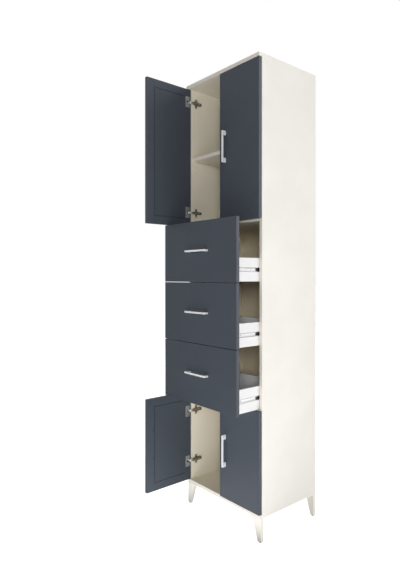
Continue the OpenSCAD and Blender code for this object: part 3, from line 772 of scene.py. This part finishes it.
@dataclass
class Boards:
    """Plain boards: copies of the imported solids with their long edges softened."""

    cabinet: Cabinet
    edge_radius: float = 0.7
    facet: float = 120.0

    def board(
        self, node: str, finish: Finish, others: Mapping[Finish, Sequence[Vector]] | None = None,
    ) -> None:
        """Makes one board.

        Args:
            node: The CAD node.
            finish: Its foil.
            others: Other finishes, each with the directions in which the sides that wear it face. Some
                of them are painted shade or painted light.
        """
        shape = self.cabinet.copied(node)
        shape.soften(shape.sharp_edges(angle=60, facet=self.facet), self.edge_radius)
        worn = others or {}
        for number, ways in enumerate(worn.values(), 1):
            for face in (face for way in ways for face in shape.facing(way)):
                face.material_index = number
        self.cabinet.place(shape, f"{node}_board", [finish, *worn], node)


@dataclass
class Head:
    """A screw's head: the middle of its top, the direction out of it and its radius in metres."""

    top: Vector
    outward: Vector
    radius: float


@dataclass
class Screws:
    """Screws with crowned heads and cross recesses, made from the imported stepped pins."""

    cabinet: Cabinet
    head_over_tip: float = 1.15
    crown: float = 0.45
    recess_share: float = 0.62
    web_share: float = 0.17
    recess_taper: float = 0.45
    recess_depth: float = 1.3
    long_screw: float = 20.0

    def head_of(self, solid: Solid) -> Head | None:
        """Finds a screw's head.

        Args:
            solid: The screw.

        Returns:
            Its head, or None for a plain pin.
        """
        k = solid.axis.value
        ends = []
        for value, sign in ((solid.low[k], -1.0), (solid.high[k], 1.0)):
            rim = [v.co for v in solid.verts if abs(v.co[k] - value) < TOUCH]
            middle = solid.middle
            middle[k] = value
            ends.append(Head(middle, solid.axis.vector * sign, max((co - middle).length for co in rim)))
        tip, head = sorted(ends, key=lambda end: end.radius)
        return head if head.radius > tip.radius * self.head_over_tip else None

    def rim(self, shape: Shape, head: Head) -> list[BMEdge]:
        """The edges round the top of a head.

        Args:
            shape: The shape that holds the screw.
            head: The screw's head.

        Returns:
            The edges.
        """
        def on_rim(vert: BMVert) -> bool:
            """Whether a vertex lies on the rim."""
            arm = vert.co - head.top
            return abs(arm.dot(head.outward)) < TOUCH and abs(arm.length - head.radius) < 2 * TOUCH

        return [edge for edge in shape.bm.edges if all(map(on_rim, edge.verts))]

    def make(self, node: str, name: str, handle_screws: Finish | None = None) -> None:
        """Makes all screws of a CAD node.

        Args:
            node: The CAD node.
            name: The piece's name.
            handle_screws: The finish of the node's long screws, if it isn't zinc.
        """
        shape = self.cabinet.copied(node)
        heads = [head for head in map(self.head_of, shape.solids()) if head]
        shape.soften([edge for head in heads for edge in self.rim(shape, head)], self.crown, segments=3)
        for turned in (0.0, math.pi / 2):
            tool = Shape()
            for head in heads:
                self.bar(tool, head, turned)
            if heads:
                shape.cut(tool)
        finishes = [ZINC]
        if handle_screws:
            finishes.append(handle_screws)
            for solid in shape.solids():
                if (solid.high - solid.low).length > self.long_screw * MM:
                    for face in {face for vert in solid.verts for face in vert.link_faces}:
                        face.material_index = 1
        self.cabinet.place(shape, name, finishes, node)

    def bar(self, tool: Shape, head: Head, turned: float) -> None:
        """Adds one tapered bar of a cross recess.

        Args:
            tool: The shape that collects the cutters.
            head: The screw's head.
            turned: The bar's turn about the screw's axis, in radians.
        """
        reach, web = head.radius * self.recess_share, head.radius * self.web_share
        deep = self.recess_depth * MM
        turn = head.outward.to_track_quat("Z", "Y").to_matrix().to_4x4()
        fit = Matrix.Translation(head.top) @ turn @ Matrix.Rotation(turned + math.pi / 4, 4, "Z")
        size = Matrix.Diagonal((2 * reach, 2 * web, 2 * deep, 1.0))
        for vert in bmesh.ops.create_cube(tool.bm, size=1.0, matrix=fit @ size)["verts"]:
            arm = vert.co - head.top
            rise = arm.dot(head.outward)
            if rise < 0:
                vert.co -= (arm - head.outward * rise) * self.recess_taper


@dataclass
class Handle:
    """A bow handle: a flat bar with rounded corners on two deep feet."""

    cabinet: Cabinet
    foot: float = 20.0
    bar: float = 6.5
    corner_radius: float = 3.0
    edge_radius: float = 0.9

    def bow(self, length: float, stand: float, width: float) -> Shape:
        """The bow, lying along X with its feet on y = 0 and its bar towards +Y.

        Args:
            length: Its length over both feet, in metres.
            stand: How far it stands off, in metres.
            width: Its width, in metres.

        Returns:
            The bow.
        """
        shape = Shape()
        half, foot, bar = length / 2, self.foot * MM, self.bar * MM
        outline = [
            (-half, 0.0), (-half, stand), (half, stand), (half, 0.0),
            (half - foot, 0.0), (half - foot, stand - bar),
            (foot - half, stand - bar), (foot - half, 0.0),
        ]
        verts = [shape.bm.verts.new((x, y, -width / 2)) for x, y in outline]
        shape.bm.faces.new(verts)
        outer_corners, inner_corners = verts[1:3], verts[5:7]
        for corners in (outer_corners, inner_corners):
            bmesh.ops.bevel(
                shape.bm, geom=corners, offset=self.corner_radius * MM, offset_type="OFFSET",
                affect="VERTICES", segments=8, profile=0.5, material=-1, clamp_overlap=True,
            )
        pulled = bmesh.ops.extrude_face_region(shape.bm, geom=list(shape.bm.faces))["geom"]
        moved = [g for g in pulled if isinstance(g, BMVert)]
        bmesh.ops.translate(shape.bm, verts=moved, vec=(0.0, 0.0, width))
        rims = [
            e for e in shape.bm.edges
            if abs(e.verts[0].co.z - e.verts[1].co.z) < HAIR and max(v.co.y for v in e.verts) > HAIR
        ]
        shape.soften(rims, self.edge_radius, segments=3)
        return shape

    def make(self, node: str, along: Axis, out: Vector) -> None:
        """Makes the handle inside the box of its CAD node.

        Args:
            node: The CAD node.
            along: The axis of the bar.
            out: The direction from the front to the bar.
        """
        low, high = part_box(node)
        middle, size = (low + high) / 2, high - low
        outward = next(k for k in range(3) if abs(out[k]) > 0.5)
        across = 3 - outward - along.value
        stand = size[outward]
        shape = self.bow(size[along.value], stand, size[across])
        turn = Matrix((along.vector, out, along.vector.cross(out))).transposed().to_4x4()
        foot_plane = middle - out * stand / 2
        bmesh.ops.transform(shape.bm, matrix=Matrix.Translation(foot_plane) @ turn, verts=shape.bm.verts)
        bmesh.ops.recalc_face_normals(shape.bm, faces=shape.bm.faces)
        finish = SATIN_UPRIGHT if along is Axis.Z else SATIN_LEVEL
        self.cabinet.place(shape, f"{node}_bow", [finish], node)


@dataclass
class Door:
    """A door: its panel with dots round the inner face, bow handle, hinge cups and screws.

    The left doors are the ones that stand open at rest, and the right ones are closed.
    """

    cabinet: Cabinet
    name: str
    is_open: bool
    dot_rows: int
    dot_columns: int = 13
    dot_inset: float = 38.5
    dot_column_inset: float = 41.0
    dot_radius: float = 2.7
    dot_taper: float = 0.9
    dot_depth: float = 2.5
    dot_sides: int = 10
    skin: float = 0.1
    edge_radius: float = 0.6
    cup_edge_radius: float = 0.22

    @property
    def out(self) -> Vector:
        """The direction in which the outer face looks."""
        return -Axis.X.vector if self.is_open else -Axis.Y.vector

    @property
    def hinge_way(self) -> Vector:
        """The direction in which the edge beside the hinges looks."""
        return Axis.Y.vector if self.is_open else Axis.X.vector

    def dots(self) -> Shape:
        """The cutter for the dots: up the free edge, along the top and along the bottom."""
        low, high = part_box(f"{self.name}_door")
        inset, aside = self.dot_inset * MM, self.dot_column_inset * MM
        width = 1 if self.is_open else 0
        span = high[width] - low[width] - 2 * aside
        rise = high.z - low.z - 2 * inset
        spots = [(0.0, rise * row / self.dot_rows) for row in range(self.dot_rows + 1)]
        spots += [
            (span * column / self.dot_columns, up)
            for column in range(1, self.dot_columns + 1) for up in (0.0, rise)
        ]
        wide, narrow = self.dot_radius * MM, self.dot_radius * self.dot_taper * MM
        tool = Shape()
        for along, up in spots:
            at = Vector((0.0, 0.0, low.z + inset + up))
            at[width] = low[width] + (aside + along)
            at[1 - width] = high[1 - width]
            start = at - self.out * self.skin * MM
            tool.cone(start, self.out, wide, narrow, self.dot_depth * MM, self.dot_sides)
        # The dots' faces take the second finish: the painted shade of the holes
        for face in tool.bm.faces:
            face.material_index = 1
        return tool

    def make(self, screws: Screws) -> None:
        """Makes the door's pieces.

        Args:
            screws: The maker of the door's screws.
        """
        node, out = f"{self.name}_door", self.out
        panel = self.cabinet.copied(node)
        panel.soften(panel.sharp_edges(angle=60, facet=60.0), self.edge_radius)
        panel.cut(self.dots())
        # The hinge-side edge gets the lighter slate: painted light from the right
        for face in panel.facing(self.hinge_way):
            if face.material_index == 0:
                face.material_index = 2
        self.cabinet.place(panel, f"{node}_panel", [SLATE, DOT_PAINTED_SHADE, SLATE_EDGE_PAINTED_LIGHT], node)
        Handle(self.cabinet).make(f"{self.name}_handle", Axis.Z, out)
        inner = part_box(node)[1]
        cups = self.cabinet.copied(f"{self.name}_cups")
        cups.soften(cups.sharp_edges(angle=50, facet=0.6), self.cup_edge_radius)
        # The cups' bowls in the door get the nickel with the painted reflection of the interior
        cups.part(inner - out * self.skin * MM, out)
        # The rims on the door's inner face get the dark painted shade
        for face in cups.facing(-out):
            if abs((face.calc_center_median() - inner).dot(out)) < TOUCH:
                face.material_index = 2
        finishes = [FLANGE, NICKEL_PAINTED_REFLECTION, CUP_RIM_PAINTED_SHADE]
        self.cabinet.place(cups, f"{self.name}_cups_pressed", finishes, f"{self.name}_cups")
        screws.make(f"{self.name}_screws", f"{self.name}_screws_cross", handle_screws=BLACKENED)


@dataclass
class Drawer:
    """A drawer: its front, low white box, bow handle, runners and fittings."""

    cabinet: Cabinet
    name: str
    coating_ahead: float = 14.5  # how far ahead of the side panels the runners' white front ends stop

    def make(self, boards: Boards, screws: Screws) -> None:
        """Makes the drawer's pieces.

        Args:
            boards: The maker of its boards.
            screws: The maker of its screws.
        """
        # The side edges get the lighter slate: painted light from the right
        boards.board(f"{self.name}_front", SLATE, {SLATE_EDGE_PAINTED_LIGHT: (Axis.X.vector, -Axis.X.vector)})
        for part in ("sides", "back", "bottom"):
            boards.board(f"{self.name}_{part}", WHITE)
        Handle(self.cabinet).make(f"{self.name}_handle", Axis.X, -Axis.Y.vector)
        node = f"{self.name}_runners"
        runners = self.cabinet.copied(node)
        runners.soften(runners.sharp_edges(angle=60, facet=8.0), radius=0.2)
        runners.part(self.cabinet.ahead(self.coating_ahead), -Axis.Y.vector)
        self.cabinet.place(runners, f"{node}_rolled", [RUNNER, COATED], node)
        screws.make(f"{self.name}_fittings", f"{self.name}_fittings_cross")


@dataclass
class Carcass:
    """The fixed part of the cabinet: boards, shelf, legs, hinges' fixed halves and runners."""

    cabinet: Cabinet
    links_ahead: float = 4.0  # how far ahead of the side panels the hinge arms' bright links stop
    # The inner faces of these boards, by the directions they face, get the painted shade of the inside
    faces_with_painted_shade: Mapping[str, tuple[Vector, ...]] = field(default_factory=lambda: {
        "top_board": (-Axis.Z.vector,),
        "bottom_board": (Axis.Z.vector,),
        "left_side_panel": (Axis.X.vector,),
        "right_side_panel": (-Axis.X.vector,),
        "upper_divider": (Axis.Z.vector, -Axis.Z.vector),
        "lower_divider": (Axis.Z.vector, -Axis.Z.vector),
        "adjustable_shelf": (Axis.Z.vector, -Axis.Z.vector),
    })

    def make(self, boards: Boards, screws: Screws) -> None:
        """Makes the carcass's pieces.

        Args:
            boards: The maker of its boards.
            screws: The maker of its screws.
        """
        # Inner faces get the painted shade of the inside, front edges the painted shade of the front
        # edges
        for name, ways in self.faces_with_painted_shade.items():
            boards.board(name, CREAM, {CREAM_INSIDE_PAINTED_SHADE: ways, CREAM_FRONT_EDGE_PAINTED_SHADE: (-Axis.Y.vector,)})
        boards.board("back_panel", CREAM_SHEET)
        for name in ("front_left_leg", "front_right_leg", "rear_left_leg", "rear_right_leg"):
            leg = self.cabinet.copied(name)
            leg.soften(leg.sharp_edges(angle=50, facet=18.0), radius=0.8)
            self.cabinet.place(leg, f"{name}_curved", [CREAM_LEG], name)
        self.pressed("leg_glides", GLIDE_PLASTIC, radius=0.5, facet=3.0)
        self.pressed("shelf_pins", PIN_PLASTIC, radius=0.3, facet=1.0)
        self.pressed("wall_brackets", ZINC, radius=0.35, facet=20.0)
        # The hinge plates get the nickel with the painted reflection of the interior
        self.pressed("hinge_plates", NICKEL_PAINTED_REFLECTION, radius=0.25, facet=1.0)
        arms = self.cabinet.copied("hinge_arms")
        arms.soften(arms.sharp_edges(angle=50, facet=1.0), radius=0.25)
        # Behind the bright links, the arms get the nickel with the painted reflection of the interior
        arms.part(self.cabinet.ahead(self.links_ahead), Axis.Y.vector)
        self.cabinet.place(arms, "hinge_arms_made", [NICKEL, NICKEL_PAINTED_REFLECTION], "hinge_arms")
        self.pressed("cabinet_runners", RUNNER, radius=0.2, facet=8.0)
        screws.make("hinge_screws", "hinge_screws_cross")
        screws.make("carcass_screws", "carcass_screws_cross")
        screws.make("cam_fittings", "cam_fittings_cross")
        self.cabinet.keep("hinge_pins", ZINC)
        self.cabinet.keep("wood_dowels", BEECH)

    def pressed(self, node: str, finish: Finish, radius: float, facet: float) -> None:
        """Makes a small part with softened edges.

        Args:
            node: The CAD node.
            finish: Its finish.
            radius: The radius of its edges, in millimetres.
            facet: The least area of the faces beside a softened edge, in square millimetres.
        """
        shape = self.cabinet.copied(node)
        shape.soften(shape.sharp_edges(angle=50, facet=facet), radius)
        self.cabinet.place(shape, f"{node}_made", [finish], node)


@dataclass(frozen=True)
class Lamp:
    """A square soft lamp: where it hangs, the point that it faces, its side in metres and its watts."""

    name: str
    at: Place
    aim: Place
    side: float
    power: float

    def hang(self) -> None:
        """Hangs the lamp, unseen by the camera."""
        data = bpy.data.lights.new(self.name, "AREA")
        data.shape, data.size, data.energy = "SQUARE", self.side, self.power
        lamp = bpy.data.objects.new(self.name, data)
        lamp.location = self.at
        lamp.rotation_euler = (Vector(self.aim) - Vector(self.at)).to_track_quat("-Z", "Y").to_euler()
        lamp.visible_camera = False
        bpy.context.scene.collection.objects.link(lamp)


@dataclass(frozen=True)
class Studio:
    """A pale floor, a white surround, soft lamps and the camera."""

    focal_px: float = 485.5
    centre_px: float = 230.82
    horizon_px: float = 276.4
    turn_degrees: float = 48.34
    eye: Place = (1.6628, -1.6055, 1.103)
    width_px: float = 400.0
    height_px: float = 570.0
    sensor_mm: float = 36.0
    floor_half: float = 40.0
    floor_drop: float = 0.0004
    floor_glow: float = 0.9
    even_light: float = 0.14
    lamps: tuple[Lamp, ...] = (
        Lamp("side_softbox", (8.6, 4.4, 3.4), (0.25, 0.0, 1.0), 4.8, 335.0),
        Lamp("camera_softbox", (3.9, -3.65, 1.75), (0.0, -0.1, 0.9), 1.1, 92.0),
        Lamp("rear_softbox", (-3.2, 3.2, 4.0), (0.0, 0.0, 1.2), 2.4, 200.0),
        Lamp("front_floor_bounce", (0.6, -1.15, 0.01), (0.6, -1.15, 1.0), 1.8, 17.6),
        Lamp("side_floor_bounce", (1.9, -0.4, 0.01), (1.9, -0.4, 1.0), 2.4, 4.5),
    )

    def camera(self) -> None:
        """Sets up the camera with the photograph's view."""
        data = bpy.data.cameras.new("photo_camera")
        data.sensor_fit, data.sensor_width = "AUTO", self.sensor_mm
        data.lens = self.focal_px * self.sensor_mm / self.height_px
        data.shift_x = (self.width_px / 2 - self.centre_px) / self.height_px
        data.shift_y = (self.horizon_px - self.height_px / 2) / self.height_px
        data.clip_start, data.clip_end = 0.05, 200.0
        eye = bpy.data.objects.new("photo_camera", data)
        eye.location = self.eye
        eye.rotation_euler = (math.pi / 2, 0.0, math.radians(self.turn_degrees))
        bpy.context.scene.collection.objects.link(eye)
        bpy.context.scene.camera = eye

    def floor(self) -> None:
        """Lays a pale floor that keeps the cabinet's shadow and runs into the white surround."""
        bm = bmesh.new()
        bmesh.ops.create_grid(bm, x_segments=8, y_segments=8, size=self.floor_half)
        bmesh.ops.translate(bm, verts=bm.verts, vec=(0.0, 0.0, -self.floor_drop))
        mesh = bpy.data.meshes.new("studio_floor")
        bm.to_mesh(mesh)
        bm.free()
        floor = bpy.data.objects.new("studio_floor", mesh)
        bpy.context.scene.collection.objects.link(floor)
        shader = Shader("studio_floor")
        shader.set({"Base Color": (0.86, 0.86, 0.86), "Roughness": 0.8, "Specular IOR Level": 0.2})
        seen = shader.read("ShaderNodeLightPath", {}, {}, "Is Camera Ray")
        shader.set({"Emission Color": (1.0, 1.0, 1.0), "Emission Strength": seen * self.floor_glow})
        mesh.materials.append(shader.material)

    def surround(self) -> None:
        """Lights the room evenly, while camera, glossy and transmission rays see white."""
        world = bpy.data.worlds.new("white_surround")
        world.use_nodes = True
        graph = Graph(world.node_tree)
        camera, glossy, transmission = (
            graph.read("ShaderNodeLightPath", {}, {}, ray)
            for ray in ("Is Camera Ray", "Is Glossy Ray", "Is Transmission Ray")
        )
        white = camera.larger(glossy).larger(transmission)
        strength = white * (1.0 - self.even_light) + self.even_light
        lit = {"Color": (1.0, 1.0, 1.0), "Strength": strength}
        graph.end("ShaderNodeOutputWorld", graph.read("ShaderNodeBackground", {}, lit))
        bpy.context.scene.world = world

    def make(self) -> None:
        """Sets up the studio."""
        bpy.context.scene.view_settings.view_transform = "Standard"
        self.camera()
        self.floor()
        self.surround()
        for lamp in self.lamps:
            lamp.hang()


def main() -> None:
    """Loads the frame, builds every sub-assembly and sets up the studio."""
    logging.basicConfig(level=logging.INFO, format="%(name)s: %(message)s")
    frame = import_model()
    cabinet = Cabinet.from_frame(frame)
    boards, screws = Boards(cabinet), Screws(cabinet)
    Carcass(cabinet).make(boards, screws)
    for level, rows in (("upper", 44), ("lower", 26)):
        for side, is_open in (("left", True), ("right", False)):
            Door(cabinet, f"{level}_{side}", is_open, dot_rows=rows).make(screws)
    for name in ("top_drawer", "middle_drawer", "bottom_drawer"):
        Drawer(cabinet, name).make(boards, screws)
    Studio().make()
    bpy.context.view_layer.update()
    LOG.info("%d pieces made", len(cabinet.made))


if __name__ == "__main__":
    main()
